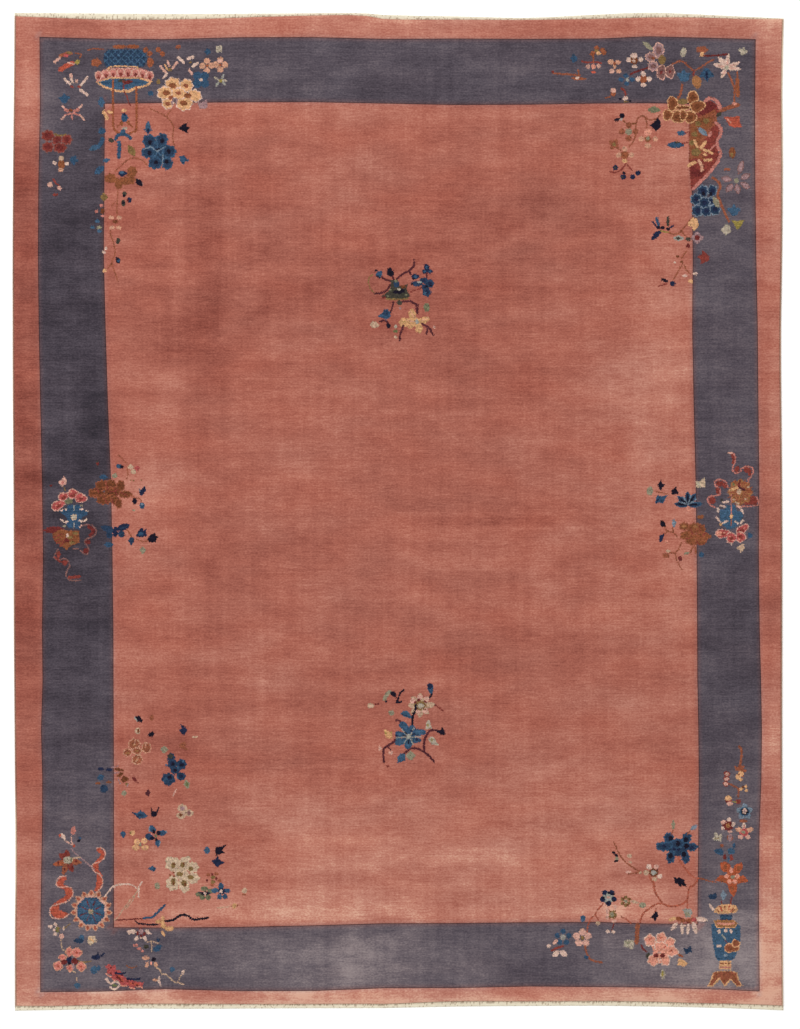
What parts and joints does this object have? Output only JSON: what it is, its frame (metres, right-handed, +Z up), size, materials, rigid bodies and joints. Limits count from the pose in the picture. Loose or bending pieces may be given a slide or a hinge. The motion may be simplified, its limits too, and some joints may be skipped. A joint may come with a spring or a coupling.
{
  "type": "hand-knotted wool rug",
  "caption": "Flat hand-knotted wool pile rug with a broad border band, narrow flat-woven end webs and overcast sides, for lying on a floor.",
  "frame": {"origin": "under the middle of the rug, on the surface that it lies on", "axes": "+Z up, +X across the rug's width, +Y along its length"},
  "size_m": [2.75, 3.5598, 0.0115],
  "materials": {
    "pile_wool": "short clipped wool pile, salmon field and guard stripe with a slate blue band and coloured flower ornaments",
    "web_cotton": "flat-woven undyed cotton, matt",
    "edge_yarn": "wool yarn overcast over the edge warps"
  },
  "bodies": {
    "root": {"rug_pile": "pile_wool", "end_web_far": "web_cotton", "end_web_near": "web_cotton", "selvedge_left": "edge_yarn", "selvedge_right": "edge_yarn"}
  },
  "joints": []
}
